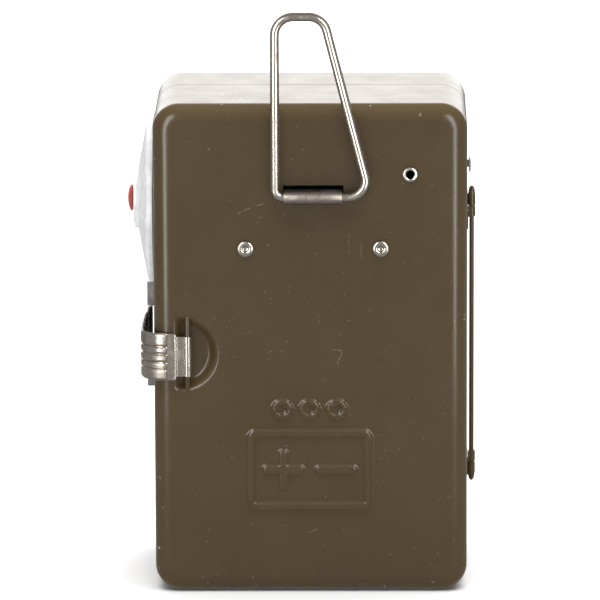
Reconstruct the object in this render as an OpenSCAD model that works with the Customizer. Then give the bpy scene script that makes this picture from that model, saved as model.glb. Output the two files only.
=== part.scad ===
// Battery signal lamp in a two-shell sheet-steel case.
// +X is the hinge side, -X the lens side, -Y the rear cover, +Y the front shell.
// The origin is the middle of the flat base, and +Z is up.

/* [Case] */
// Width of the case across the lens and hinge sides
case_w = 78; // [74:1:84]
// Height of the case
case_h = 124; // [118:1:130]
// Depth of the case from the rear face to the front face
case_d = 50; // [48:1:54]
// Thickness of the case sheet
sheet = 0.8; // [0.6:0.1:1]
// Radius of the four corners seen from behind
corner_r = 6.5; // [5.5:0.5:8]
// Radius rolled round the rear and front faces
edge_r = 4; // [3:0.5:5]
// Distance of the seam between the shells behind the middle of the case
seam_y = 4; // [2:0.5:6]

/* [Lens and filter] */
// Height of the lens centre above the base
lens_z = 96; // [94:1:98]
// Radius of the lens rim
lens_r = 21.2; // [20.8:0.1:21.4]
// How far the lens boss stands out of the case side
lens_out = 5.4; // [5:0.1:7]
// How far the filter knob pulls out
filter_travel = 8.5; // [6:0.5:8.5]

/* [Rear hook] */
// Diameter of the hook wire
hook_wire_d = 2.25; // [2:0.05:2.4]
// Height of the hook loop above its hinge bar
hook_h = 45.3; // [40:0.2:50]
// Height of the hook hinge bar above the base
hook_z = 101.2; // [98:0.2:102]

/* [Clasp] */
// Height of the middle of the clasp above the base
clasp_z = 60.6; // [58:0.2:62]
// Height of the clasp strap
clasp_h = 12; // [11:0.2:15]

/* [Cells] */
// Diameter of one cell
cell_d = 34.2; // [33:0.1:34.2]
// Length of one cell with its cap
cell_len = 61.5; // [60:0.1:61.5]

/* [Hidden] */
$fn = 64;

olive = [0.35, 0.30, 0.23];
nickel = [0.72, 0.70, 0.67];
zinc = [0.62, 0.63, 0.62];
brass = [0.78, 0.63, 0.32];
pertinax = [0.45, 0.25, 0.12];

eps = 0.01;              // overrun of a cut past a face
gap = 0.15;              // half of the gap between the two shells
rear_y = -case_d / 2;
front_y = case_d / 2;
side_x = case_w / 2;
inner_x = side_x - sheet;
inner_rear_y = rear_y + sheet;
inner_front_y = front_y - sheet;

hinge_x = side_x + 1.45; // hinge wire axis
hinge_wire_r = 0.6;
hinge_bore_r = 0.65;
hinge_knuckle_r = 0.95;
hinge_tip_r = 0.75;      // lugs and wire heads taper to this
hinge_bottom = 22.8;
hinge_top = 97.2;
knuckle_len = 2.6;
knuckle_gap = 0.25;

collar_r = 20.2;         // lens collar inside the case side
window_r = 20.7;         // opening of the case side round the collar
boss_r = 7.6;            // flat boss in the middle of the lens
rod_r = 1.0;
focus = 5.5;             // focal length of the reflector
mouth_h = -2.4;          // lens-axis positions, outwards from the case side
mouth_r = 19.4;
neck_r = 6.0;
vertex_h = mouth_h - mouth_r * mouth_r / (4 * focus);

strap_t = 0.45;
strap_x = -side_x - 3;    // outer face of the strap on the lens side
strap_y = rear_y - 0.85;  // outer face of the strap behind the cover
strap_end_y = 7.8;
strap_bend_r = 6;
strap_rib = 0.4;
grip_ribs = [[-5.6, -3.4], [-3, -1.6], [-1.2, 0.5], [0.9, 2.4], [2.8, 5.6]];
clasp_pin_r = 0.55;
roll_r = clasp_pin_r + 0.05 + strap_t;
roll_x = -30.6;           // clasp pin axis
roll_y = strap_y + roll_r;
roll_h = 10.1;
pin_h = 19.4;            // its ends sit in notches of the recess
dish_x = -32.65;          // middle of the pressed hollow
dish_z = clasp_z + 0.6;
dish_flat_x = -34;
dish_mouth_r = 9.9;       // at the rear face
dish_floor_r = 7.15;
dish_depth = 2.1;
keeper_h = 27;
keeper_z = clasp_z - 0.9; // middle of the keeper plate
cheek_x = -side_x - 2.6;  // outer face of the keeper's cheeks
keeper_y = 5.2;
keeper_rivet_y = 10.6;
keeper_rivet_z = 9.8;
keeper_hole_r = 0.85;

fit_x = 0.75;            // the rear fittings sit a little towards the hinge
hook_y = rear_y - 1.85;
hook_bore_r = hook_wire_d / 2 + 0.055;
hook_roll_r = 1.75;
hook_roll_w = 14.4;
hook_bend = [2.1, 4.2, 4.6, 4.6];
bend_lap = 0.05;         // how far a straight runs into each bend
bend_neck = 0.02;        // the wire thins by this much round a bend
rivet_z = 87.9;
rivet_x = 16.8;
eyelet_x = 24.85;
eyelet_z = 106.6;
eyelet_r = 0.95;

cell_x = cell_d / 2 + 0.15;
cell_z = 7;              // underside of the cells
floor_z = 1.9;           // underside of the chassis floor
tray_t = 0.6;
strip_t = 0.5;           // thickness of the contact strips
cap_h = 1.5;
cell_top = cell_z + cell_len;
chassis_y = 17.5;
chassis_t = 0.8;
bridge_top = floor_z + chassis_t + tray_t + strip_t;
board_z = cell_top + 0.7;
board_t = 1.5;
flange_x = 30;           // rivet columns of the chassis

bulb_r = 5.4;
cap_r = 4.7;
bulb_h = vertex_h + focus;
cap_top_h = -19.5;
cap_end_h = -28.5;
plate_h = -23.4;         // outer face of the optic bracket, on the lens axis

switch_y = 14;
switch_z = 102;
switch_travel = 6;
spare_x = 4;             // end of the spare bulb's cap
spare_glass_h = 5.7;     // middle of its glass ball, past the cap
spare_y = -17.4;

// ---- helpers -------------------------------------------------------------

// A box from its lowest corner to its highest corner.
module span(low, high) {
    translate(low) cube(high - low);
}

// Places children made along +Z on the lens axis, outwards from the case side.
module on_lens_axis() {
    translate([-side_x, 0, lens_z]) rotate([0, -90, 0]) children();
}

// A ring or disc on the lens axis between two positions.
module lens_tube(r_out, r_in, h0, h1) {
    on_lens_axis() translate([0, 0, h0]) difference() {
        cylinder(r = r_out, h = h1 - h0);
        if (r_in > 0) translate([0, 0, -eps]) cylinder(r = r_in, h = h1 - h0 + 2 * eps);
    }
}

// A hollow upright cylinder.
module upright_tube(x, y, z0, z1, r_out, r_in) {
    translate([x, y, z0]) difference() {
        cylinder(r = r_out, h = z1 - z0);
        translate([0, 0, -eps]) cylinder(r = r_in, h = z1 - z0 + 2 * eps);
    }
}

// Places children made along +Z so that they point out of the rear face.
module on_rear(x, z) {
    translate([x, rear_y, z]) rotate([90, 0, 0]) children();
}

// One deep-drawn form: filleted at y_face, open at y_mouth, inset on all sides.
module drawn_form(y_face, y_mouth, inset) {
    r = corner_r - inset;
    f = edge_r - inset;
    out = y_face < y_mouth ? 1 : -1;
    y_f = y_face + out * inset;
    y_ring = y_f + out * f;
    hull() for (sx = [-1, 1], z = [corner_r, case_h - corner_r]) {
        translate([sx * (side_x - corner_r), y_ring, z]) rotate([90, 0, 0]) {
            rotate_extrude($fn = 40) intersection() {
                translate([r - f, 0]) circle(r = f, $fn = 32);
                translate([0, -f]) square([r, 2 * f]);
            }
        }
        translate([sx * (side_x - corner_r), min(y_ring, y_mouth), z])
            rotate([-90, 0, 0]) cylinder(r = r, h = abs(y_mouth - y_ring), $fn = 40);
    }
}

// The round opening for the lens collar, straight-sided towards the seam.
module lens_window() {
    translate([-side_x - 2, 0, lens_z]) rotate([0, 90, 0]) cylinder(r = window_r, h = 5);
}

// A semi-tubular rivet along +Z: outer head, shank through "grip", inner head.
module rivet(head_r, head_h, shank_r, grip, dimple_r) {
    difference() {
        union() {
            cylinder(r1 = head_r, r2 = head_r * 0.86, h = head_h);
            translate([0, 0, -grip]) cylinder(r = shank_r, h = grip + 0.1);
            translate([0, 0, -grip - 0.5]) cylinder(r = head_r * 0.85, h = 0.5);
        }
        if (dimple_r > 0)
            translate([0, 0, head_h - 0.9]) cylinder(r = dimple_r, h = 1.0, $fn = 24);
    }
}

// ---- front shell group ---------------------------------------------------

module front_shell() {
    color(olive) difference() {
        drawn_form(front_y, seam_y + gap, 0);
        drawn_form(front_y, seam_y + gap - 1, sheet);
        lens_window();
        span([side_x - 2, switch_y - 1, switch_z - 1.2],
             [side_x + 2, switch_y + 1, switch_z + switch_travel + 1.2]);
        for (p = front_rivet_places())
            translate([p.x, front_y - 3, p.y]) rotate([-90, 0, 0])
                cylinder(r = 1.25, h = 4, $fn = 24);
        for (s = [-1, 1])
            translate([-side_x - 1, keeper_rivet_y, keeper_z + s * keeper_rivet_z])
                rotate([0, 90, 0]) cylinder(r = keeper_hole_r, h = 3, $fn = 24);
    }
}

function front_rivet_places() = [
    for (sx = [-1, 1], z = [15, 58]) [sx * flange_x, z],
    for (z = [lens_z - 8, lens_z + 8]) [-9, z]
];

// An inner strip that lines up the two shells at the seam.
module seam_rim() {
    t = 0.6;
    inset = sheet + 0.4;
    low = seam_y - 3;
    color(olive) difference() {
        union() {
            rim_band(inset, low, seam_y + 4);
            rim_band(sheet + 0.02, seam_y + gap + 0.1, seam_y + 4);
        }
        rim_band(inset + t, low - 1, seam_y + 5);
        span([-side_x, low - 2, lens_z - window_r - 1],
             [-side_x + 6, seam_y + 6, lens_z + window_r + 1]);
    }
}

// The rounded rectangle of the case between two depths, inset on all sides.
module rim_band(inset, y0, y1) {
    r = corner_r - inset;
    translate([0, y1, 0]) rotate([90, 0, 0]) linear_extrude(y1 - y0) {
        translate([-side_x + inset, corner_r]) square([case_w - 2 * inset, case_h - 2 * corner_r]);
        translate([-side_x + corner_r, inset]) square([case_w - 2 * corner_r, case_h - 2 * inset]);
        for (sx = [-1, 1], z = [corner_r, case_h - corner_r])
            translate([sx * (side_x - corner_r), z]) circle(r = r);
    }
}

module front_rivets() {
    color(olive) for (p = front_rivet_places())
        translate([p.x, front_y, p.y]) rotate([-90, 0, 0])
            rivet(2.2, 0.8, 1.2, sheet + chassis_t, 0);
}

// Knuckle and tab of one hinge lug; "away" is +1 for the case side, -1 for the cover.
module hinge_lug(z0, z1, away, tip) {
    tab_end = away > 0 ? 8 : -12;
    difference() {
        union() {
            translate([hinge_x, seam_y, z0]) cylinder(r = hinge_knuckle_r, h = z1 - z0);
            if (tip > 0) translate([hinge_x, seam_y, z1])
                cylinder(r1 = hinge_knuckle_r, r2 = hinge_tip_r, h = 1.4);
            if (tip < 0) translate([hinge_x, seam_y, z0 - 1.4])
                cylinder(r1 = hinge_tip_r, r2 = hinge_knuckle_r, h = 1.4);
            span([side_x, min(seam_y + away * 0.4, seam_y + away * 1.5), z0],
                 [hinge_x - 0.2, max(seam_y + away * 0.4, seam_y + away * 1.5), z1]);
            span([side_x, min(seam_y + away, seam_y + tab_end), z0 - 1],
                 [side_x + 0.45, max(seam_y + away, seam_y + tab_end), z1 + 1]);
        }
        translate([hinge_x, seam_y, z0 - 3]) cylinder(r = hinge_bore_r, h = z1 - z0 + 6);
    }
}

// The case holds the outer knuckle of each pair and the cover the inner one.
module hinge_leaf_case() {
    color(olive) {
        hinge_lug(hinge_bottom + 1.4, hinge_bottom + 1.4 + knuckle_len, 1, -1);
        hinge_lug(hinge_top - 1.4 - knuckle_len, hinge_top - 1.4, 1, 1);
    }
}

module hinge_leaf_cover() {
    low = hinge_bottom + 1.4 + knuckle_len + knuckle_gap;
    high = hinge_top - 1.4 - knuckle_len - knuckle_gap;
    color(olive) {
        hinge_lug(low, low + knuckle_len, -1, 0);
        hinge_lug(high - knuckle_len, high, -1, 0);
    }
}

module hinge_wire() {
    color(zinc) {
        translate([hinge_x, seam_y, hinge_bottom - 0.3])
            cylinder(r = hinge_wire_r, h = hinge_top - hinge_bottom + 0.6);
        translate([hinge_x, seam_y, hinge_bottom - 0.9])
            cylinder(r1 = 0.3, r2 = hinge_tip_r, h = 0.7);
        translate([hinge_x, seam_y, hinge_top + 0.2])
            cylinder(r1 = hinge_tip_r, r2 = 0.3, h = 0.7);
    }
}

// ---- clasp ---------------------------------------------------------------

// The plate on the case side, with a low ridge between two proud cheeks.
module clasp_keeper() {
    free = clasp_h / 2 + 0.4;
    low = keeper_z - keeper_h / 2;
    high = keeper_z + keeper_h / 2;
    color(nickel) difference() {
        union() {
            span([-side_x - 0.5, keeper_y, low], [-side_x, 13, high]);
            span([cheek_x, keeper_y, low], [-side_x, 8.4, clasp_z - free]);
            span([cheek_x, keeper_y, clasp_z + free], [-side_x, 8.4, high]);
            span([-side_x - 0.9, keeper_y + 0.2, low + 1], [-side_x, keeper_y + 1.4, high - 1]);
        }
        for (s = [-1, 1])
            translate([-side_x - 3, keeper_rivet_y, keeper_z + s * keeper_rivet_z])
                rotate([0, 90, 0]) cylinder(r = keeper_hole_r, h = 4, $fn = 24);
    }
}

module keeper_rivets() {
    color(nickel) for (s = [-1, 1])
        translate([-side_x - 0.5, keeper_rivet_y, keeper_z + s * keeper_rivet_z])
            rotate([0, -90, 0]) rivet(1.5, 0.5, 0.8, sheet + 0.5, 0);
}

module clasp_pin() {
    color(nickel) translate([roll_x, roll_y, dish_z - pin_h / 2])
        cylinder(r = clasp_pin_r, h = pin_h);
}

// The strap seen from above, from the rear face round the corner to "end_y";
// "swell" thickens it outwards for a grip rib.
module strap_outline(swell, end_y) {
    c = [strap_x + strap_bend_r, strap_y + strap_bend_r];
    translate([strap_x - swell, c.y]) square([strap_t + swell, end_y - c.y]);
    intersection() {
        difference() {
            translate(c) circle(r = strap_bend_r + swell);
            translate(c) circle(r = strap_bend_r - strap_t);
        }
        translate([c.x - 10, c.y - 10]) square([10 + eps, 10 + eps]);
    }
}

module clasp_strap() {
    low = clasp_z - clasp_h / 2;
    bend_x = strap_x + strap_bend_r;
    lip_x = -side_x - 1.25;
    color(nickel) difference() {
        union() {
            translate([0, 0, low]) linear_extrude(clasp_h) strap_outline(0, strap_end_y);
            for (rib = grip_ribs) translate([0, 0, clasp_z + rib[0]])
                linear_extrude(rib[1] - rib[0]) strap_outline(strap_rib, strap_end_y - 9);
            span([strap_x, strap_end_y - strap_t, low], [lip_x, strap_end_y, low + clasp_h]);
            span([bend_x, strap_y, low], [bend_x + 2.15, strap_y + strap_t, low + clasp_h]);
            span([bend_x, strap_y, clasp_z - roll_h / 2],
                 [roll_x, strap_y + strap_t, clasp_z + roll_h / 2]);
            translate([roll_x, roll_y, clasp_z - roll_h / 2]) cylinder(r = roll_r, h = roll_h);
        }
        translate([roll_x, roll_y, low - 1]) cylinder(r = clasp_pin_r + 0.05, h = clasp_h + 2);
    }
}

// ---- chassis, cells and contacts -----------------------------------------

module chassis() {
    web_x = 34.5;
    floor_x = 31.5;          // ends before the rounded corners of the rim
    color(zinc) difference() {
        union() {
            span([-web_x, chassis_y, floor_z], [web_x, chassis_y + chassis_t, board_z]);
            span([-floor_x, -14, floor_z], [floor_x, chassis_y + chassis_t, floor_z + chassis_t]);
            for (sx = [-1, 1]) {
                span([min(sx * web_x, sx * (web_x - chassis_t)), chassis_y, 8],
                     [max(sx * web_x, sx * (web_x - chassis_t)), inner_front_y, 64]);
                span([min(sx * web_x, sx * 26), inner_front_y - chassis_t, 8],
                     [max(sx * web_x, sx * 26), inner_front_y, 64]);
            }
            for (x = [-26, 0, 26]) {
                span([x - 3, chassis_y, board_z - 1],
                     [x + 3, chassis_y + chassis_t, board_z + board_t + 0.8]);
                span([x - 3, chassis_y - 4, board_z + board_t],
                     [x + 3, chassis_y + chassis_t, board_z + board_t + 0.8]);
            }
        }
        for (p = front_rivet_places())
            translate([p.x, front_y - 4, p.y]) rotate([-90, 0, 0])
                cylinder(r = 1.25, h = 5, $fn = 24);
        for (sx = [-1, 1])
            translate([sx * cell_x, chassis_y - 1, 36]) rotate([-90, 0, 0])
                cylinder(r = 9, h = 3);
    }
}

module insulator_tray() {
    z = floor_z + chassis_t;
    color(pertinax) span([-34, -13.5, z], [34, chassis_y - 0.1, z + tray_t]);
}

// Joins the left cell's base to the right cell's cap.
module bridge_contact() {
    z = bridge_top - strip_t;
    color(brass) {
        span([-cell_x - 7, -5, z], [cell_x + 7, 5, bridge_top]);
        translate([cell_x, 0, z + 0.1]) cylinder(r1 = 6, r2 = 4, h = cell_z - z - 0.1);
    }
}

function spring_point(u, turns, r0, r1, z0, z1) =
    let (a = 360 * turns * u, r = r0 + (r1 - r0) * u)
    [r * cos(a), r * sin(a), z0 + (z1 - z0) * u];

// A conical coil of round wire as one closed tube.
module coil(turns, r0, r1, z0, z1, wire) {
    steps = 14 * turns;
    sides = 8;
    rings = [for (i = [0:steps]) let (
        u = i / steps,
        p = spring_point(u, turns, r0, r1, z0, z1),
        a = 360 * turns * u)
        for (k = [0:sides - 1]) let (b = 360 * k / sides)
            p + wire * [cos(b) * cos(a), cos(b) * sin(a), sin(b)]];
    walls = [for (i = [0:steps - 1], k = [0:sides - 1])
        let (n = (k + 1) % sides, at = i * sides)
            [at + k, at + sides + k, at + sides + n, at + n]];
    ends = [[for (k = [0:sides - 1]) k],
            [for (k = [sides - 1:-1:0]) steps * sides + k]];
    polyhedron(points = rings, faces = concat(walls, ends), convexity = 6);
}

module cell_spring() {
    color(zinc) translate([-cell_x, 0, 0])
        coil(3, 8, 3.5, bridge_top + 0.45, cell_z - 0.45, 0.4);
}

// One cell; "up" is +1 with its cap on top and -1 with its cap underneath.
module cell_can(x, up) {
    z0 = up > 0 ? cell_z : cell_z + cap_h;
    r = cell_d / 2;
    translate([x, 0, z0]) rotate_extrude() polygon([
        [0, 0], [r - 1.2, 0], [r - 1.2, 0.6], [r - 0.4, 0.6], [r, 1.2],
        [r, cell_len - cap_h - 1.2], [r - 0.4, cell_len - cap_h - 0.6],
        [r - 1.2, cell_len - cap_h - 0.6], [r - 1.2, cell_len - cap_h], [0, cell_len - cap_h]
    ]);
}

module cell_left() { color([0.16, 0.27, 0.42]) cell_can(-cell_x, 1); }

module cell_right() { color([0.16, 0.27, 0.42]) cell_can(cell_x, -1); }

module cell_left_cap() {
    color(nickel) translate([-cell_x, 0, cell_top - cap_h])
        cylinder(r1 = 4.75, r2 = 4.4, h = cap_h);
}

module cell_right_cap() {
    color(nickel) translate([cell_x, 0, cell_z]) cylinder(r1 = 4.4, r2 = 4.75, h = cap_h);
}

module contact_board() {
    color(pertinax) difference() {
        span([-34, -14, board_z], [34, chassis_y - 0.05, board_z + board_t]);
        for (sx = [-1, 1])
            translate([sx * cell_x, 0, board_z - 1]) cylinder(r = 6.5, h = 4);
    }
}

// Runs from the left cell's cap to the end of the bulb.
module bulb_contact() {
    tip_x = -side_x + 30.2;
    color(brass) {
        span([-cell_x - 9, -4, board_z + board_t], [tip_x + 0.5, 4, board_z + board_t + 0.5]);
        translate([-cell_x, 0, cell_top]) cylinder(r1 = 3.5, r2 = 5, h = board_z + board_t + 0.1 - cell_top);
        span([tip_x, -3, board_z + board_t], [tip_x + 0.5, 3, lens_z + 4]);
    }
}

// Runs from the right cell's base up to the switch.
module cell_contact_right() {
    strip_x = 33;
    color(brass) {
        span([cell_x - 6, -5, board_z + board_t], [strip_x + 0.5, 5, board_z + board_t + 0.5]);
        translate([cell_x, 0, cell_top]) cylinder(r1 = 3.5, r2 = 5, h = board_z + board_t + 0.1 - cell_top);
        span([strip_x, -5, board_z + board_t], [strip_x + 0.5, 16.5, board_z + board_t + 6]);
        span([strip_x, 11.5, board_z + board_t], [strip_x + 0.5, 16.5, switch_z + switch_travel + 4]);
    }
}

// ---- lamp and lens -------------------------------------------------------

module optic_bracket() {
    x0 = -side_x - plate_h;
    color(zinc) difference() {
        union() {
            span([x0, -13, lens_z - 13], [x0 + 0.8, inner_front_y, lens_z + 13]);
            span([x0, inner_front_y - 0.8, lens_z - 13], [-4, inner_front_y, lens_z + 13]);
        }
        lens_tube(6.2, 0, plate_h - 2, plate_h + 2);
        for (p = front_rivet_places())
            translate([p.x, front_y - 4, p.y]) rotate([-90, 0, 0])
                cylinder(r = 1.25, h = 5, $fn = 24);
    }
}

module socket_board() {
    x0 = -side_x - plate_h + 0.8;
    color(pertinax) difference() {
        span([x0, -9, lens_z - 9], [x0 + 1.5, 9, lens_z + 9]);
        lens_tube(5.45, 0, plate_h - 4, plate_h + 2);
    }
}

module lamp_socket() {
    color(brass) {
        lens_tube(5.4, 4.85, -29, -21.5);
        lens_tube(7, 5.35, plate_h - 2.9, plate_h - 2.3);
    }
}

module bulb_cap() {
    color(brass) on_lens_axis() {
        translate([0, 0, cap_end_h]) cylinder(r = 4.3, h = cap_top_h - cap_end_h);
        for (i = [0:5]) translate([0, 0, cap_end_h + 1 + 1.2 * i])
            cylinder(r1 = 4.3, r2 = cap_r, h = 0.6);
        translate([0, 0, cap_top_h - 1]) cylinder(r = 5.2, h = 0.8);
    }
}

module bulb_tip() {
    color([0.1, 0.1, 0.1]) on_lens_axis() {
        translate([0, 0, -29.7]) cylinder(r1 = 1.8, r2 = 3.8, h = 29.7 + cap_end_h);
        translate([0, 0, -30.2]) cylinder(r = 1.3, h = 0.6);
    }
}

module bulb_glass() {
    seat_h = cap_top_h;
    color([0.9, 0.93, 0.95, 0.4]) on_lens_axis() difference() {
        union() {
            translate([0, 0, bulb_h]) sphere(r = bulb_r);
            translate([0, 0, seat_h]) cylinder(r = 4.4, h = bulb_h - seat_h);
        }
        translate([0, 0, bulb_h]) sphere(r = bulb_r - 0.5);
        translate([0, 0, seat_h + 0.6]) cylinder(r = 3.8, h = bulb_h - seat_h);
    }
}

module bulb_filament() {
    color(zinc) on_lens_axis() {
        for (s = [-1, 1]) translate([s * 1.6, 0, cap_top_h + 0.6])
            cylinder(r = 0.2, h = bulb_h - cap_top_h - 0.6, $fn = 16);
        translate([-1.7, 0, bulb_h]) rotate([0, 90, 0]) cylinder(r = 0.3, h = 3.4, $fn = 16);
    }
}

// A paraboloid bowl with a rolled rim and a neck for the bulb.
module reflector() {
    t = 0.5;
    steps = 18;
    h_of = function (r) vertex_h + r * r / (4 * focus);
    inner = [for (i = [0:steps]) let (r = mouth_r + (neck_r - mouth_r) * i / steps) [r, h_of(r)]];
    outer = [for (i = [steps:-1:0])
        let (r = mouth_r + (neck_r - mouth_r) * i / steps) [r + t * 0.8, h_of(r) - t * 0.8]];
    neck_end = plate_h;
    color([0.86, 0.87, 0.88]) on_lens_axis() {
        rotate_extrude() polygon(concat(
            [[collar_r, mouth_h], [collar_r, mouth_h - 0.6]],
            [for (i = [len(outer) - 1:-1:0]) outer[i]],
            [[neck_r + 0.5, neck_end + 0.5], [9, neck_end + 0.5], [9, neck_end], [neck_r, neck_end]],
            [for (i = [len(inner) - 1:-1:0]) inner[i]]));
    }
}

// Clamps the reflector rim to the lens collar.
module lens_ring() {
    color([0.8, 0.8, 0.8]) on_lens_axis() rotate_extrude() polygon([
        [collar_r + 0.02, mouth_h + 1.4], [window_r - 0.12, mouth_h + 1.4],
        [window_r - 0.12, mouth_h - 1.1], [mouth_r + 0.6, mouth_h - 1.1],
        [mouth_r + 0.6, mouth_h - 0.65], [collar_r + 0.02, mouth_h - 0.65]
    ]);
}

module lens_gasket() {
    color([0.32, 0.16, 0.12]) lens_tube(window_r - 0.08, collar_r + 0.02, -0.9, 0.12);
}

// A shallow cone of clear plastic with a flat boss and a collar into the case.
module lens() {
    wall = 1.3;
    rim_h = 1.7;
    cone_h = 4.3;
    bush_r = 1.62;
    color([0.92, 0.93, 0.92, 0.6]) on_lens_axis() rotate_extrude() polygon([
        [collar_r, mouth_h], [collar_r, 0.15], [lens_r, 0.15], [lens_r, rim_h - 0.4],
        [lens_r - 0.35, rim_h], [lens_r - 1, rim_h + 0.3], [boss_r + 0.3, cone_h],
        [boss_r, cone_h + 0.2], [boss_r, lens_out - 0.25], [boss_r - 0.25, lens_out],
        [bush_r, lens_out], [bush_r, lens_out - 3.2], [boss_r - 1, lens_out - 3.2],
        [collar_r - wall, rim_h - wall], [collar_r - wall, mouth_h]
    ]);
}

module rod_bush() {
    in_h = lens_out - 3.2;
    color(brass) {
        lens_tube(1.6, rod_r + 0.05, in_h - 0.5, lens_out);
        lens_tube(2.6, 1.59, in_h - 0.5, in_h);
    }
}

module filter_rod() {
    color(brass) lens_tube(rod_r, 0, bulb_h + bulb_r + 1.5, lens_out + 0.6);
}

module filter_knob() {
    base = lens_out + 0.35;
    color([0.72, 0.20, 0.15]) on_lens_axis() translate([0, 0, base]) difference() {
        rotate_extrude() polygon([
            [0, 0], [3.1, 0], [3.4, 0.3], [3.3, 0.65], [2.7, 0.95], [1.7, 1.15], [0, 1.25]
        ]);
        translate([0, 0, -eps]) cylinder(r = rod_r, h = 0.26);
    }
}

// The red cup that covers the bulb until the knob is pulled out.
module filter_cup() {
    t = 0.8;
    r = 7;
    open_h = bulb_h - 2.6;
    close_h = bulb_h + bulb_r + 1.5;
    color([0.75, 0.1, 0.08, 0.7]) on_lens_axis() rotate_extrude() polygon([
        [r, open_h], [r, close_h - 2], [r - 2, close_h], [0, close_h],
        [0, close_h - t], [r - 2.3, close_h - t], [r - t, close_h - 2.3], [r - t, open_h]
    ]);
}

// ---- switch --------------------------------------------------------------

module switch_plate() {
    color(nickel) difference() {
        span([side_x, switch_y - 5.5, switch_z - 4], [side_x + 0.4, switch_y + 5.5, switch_z + 10.5]);
        span([side_x - 1, switch_y - 1, switch_z - 1.2],
             [side_x + 1, switch_y + 1, switch_z + switch_travel + 1.2]);
    }
}

module switch_slider() {
    color(nickel) {
        span([side_x + 0.85, switch_y - 4, switch_z - 1.6], [side_x + 1.2, switch_y + 4, switch_z + 1.6]);
        for (dz = [-0.9, 0, 0.9])
            span([side_x + 1.1, switch_y - 4, switch_z + dz - 0.25],
                 [side_x + 1.35, switch_y + 4, switch_z + dz + 0.25]);
        span([side_x - 3.4, switch_y - 0.8, switch_z - 0.9], [side_x + 1, switch_y + 0.8, switch_z + 0.9]);
        span([side_x - 3.4, switch_y - 3.5, switch_z - 2.5], [side_x - 2.7, switch_y + 3.5, switch_z + 2.5]);
    }
}

// The bronze leaf on the slider that presses on the contact strip.
module switch_blade() {
    x1 = side_x - 3.4;
    color([0.74, 0.5, 0.3]) {
        span([x1 - 0.4, switch_y - 2, switch_z - 2.5], [x1, switch_y + 2, switch_z + 2.5]);
        span([x1 - 1.2, switch_y - 2, switch_z + 1.9], [x1 - 0.2, switch_y + 2, switch_z + 2.3]);
    }
}

// Keeps the blade off the contact strip until the slider is up.
module switch_insulator() {
    x0 = 33.5;
    color(pertinax) span([x0, 11.5, switch_z - 6], [x0 + 0.5, 16.5, switch_z + 4]);
}

// ---- rear cover group ----------------------------------------------------

// The pressed hollow round the clasp's rolled end, grown by "t".
module clasp_recess(t) {
    flare = (dish_mouth_r - dish_floor_r) / dish_depth;
    intersection() {
        translate([dish_x, rear_y - 1, dish_z]) rotate([-90, 0, 0])
            cylinder(r1 = dish_mouth_r + flare + t, r2 = dish_floor_r + t, h = dish_depth + t + 1);
        span([dish_flat_x - t, rear_y - 2, 0], [0, rear_y + dish_depth + t + 1, case_h]);
    }
}

module rear_cover() {
    slot_w = hook_roll_w / 2 + 0.15;
    color(olive) {
        difference() {
            drawn_form(rear_y, seam_y - gap, 0);
            difference() {
                drawn_form(rear_y, seam_y - gap + 1, sheet);
                clasp_recess(sheet);
            }
            clasp_recess(0);
            translate([roll_x, roll_y, dish_z - pin_h / 2 - 0.02])
                cylinder(r = clasp_pin_r + 0.02, h = pin_h + 0.04);
            lens_window();
            span([-side_x - 2, 0, lens_z - window_r], [-side_x + 3, seam_y + 1, lens_z + window_r]);
            span([fit_x - slot_w, rear_y - 1, hook_z + 0.95],
                 [fit_x + slot_w, rear_y + 2, hook_z + 2.7]);
            for (sx = [-1, 1]) on_rear(fit_x + sx * rivet_x, rivet_z)
                translate([0, 0, -3]) cylinder(r = 1.25, h = 4, $fn = 24);
            on_rear(eyelet_x, eyelet_z) translate([0, 0, -3]) cylinder(r = 1.4, h = 4);
        }
        label_frame();
    }
}

// A raised rectangular frame with a plus and a minus for the two cells.
module label_frame() {
    w = 31;
    h = 20.5;
    z = 31.6;
    rise = 0.35;
    ridge = 1.7;
    on_rear(-0.25, z) translate([0, 0, -0.1]) linear_extrude(rise + 0.1) {
        difference() {
            square([w, h], center = true);
            square([w - 2 * ridge, h - 2 * ridge], center = true);
        }
        translate([-6.5, 0]) {
            square([6, ridge], center = true);
            square([ridge, 6], center = true);
        }
        translate([6.5, 0]) square([6, ridge], center = true);
    }
}

module cover_rivets() {
    color(nickel) for (sx = [-1, 1]) on_rear(fit_x + sx * rivet_x, rivet_z)
        rivet(2.0, 0.7, 1.2, sheet + 0.6, 0.8);
}

module eyelet() {
    color(nickel) on_rear(eyelet_x, eyelet_z) difference() {
        union() {
            cylinder(r1 = 2.0, r2 = 1.7, h = 0.55);
            translate([0, 0, -sheet]) cylinder(r = 1.35, h = sheet + 0.1);
            translate([0, 0, -sheet - 0.4]) cylinder(r = 1.9, h = 0.4);
        }
        translate([0, 0, -3]) cylinder(r = eyelet_r, h = 5);
    }
}

// A strip rolled round the hook's bar, with its tail bent flat inside the cover.
module hook_bracket() {
    x0 = fit_x - hook_roll_w / 2;
    x1 = fit_x + hook_roll_w / 2;
    tail_z = hook_z + hook_roll_r - 0.7;
    color(nickel) difference() {
        union() {
            translate([x0, hook_y, hook_z]) rotate([0, 90, 0])
                cylinder(r = hook_roll_r, h = hook_roll_w);
            span([x0, hook_y, tail_z], [x1, inner_rear_y + 0.65, tail_z + 0.6]);
            span([x0, inner_rear_y + 0.05, hook_z - 8], [x1, inner_rear_y + 0.65, tail_z + 0.6]);
        }
        translate([x0 - 1, hook_y, hook_z]) rotate([0, 90, 0])
            cylinder(r = hook_bore_r, h = hook_roll_w + 2);
    }
}

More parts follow.
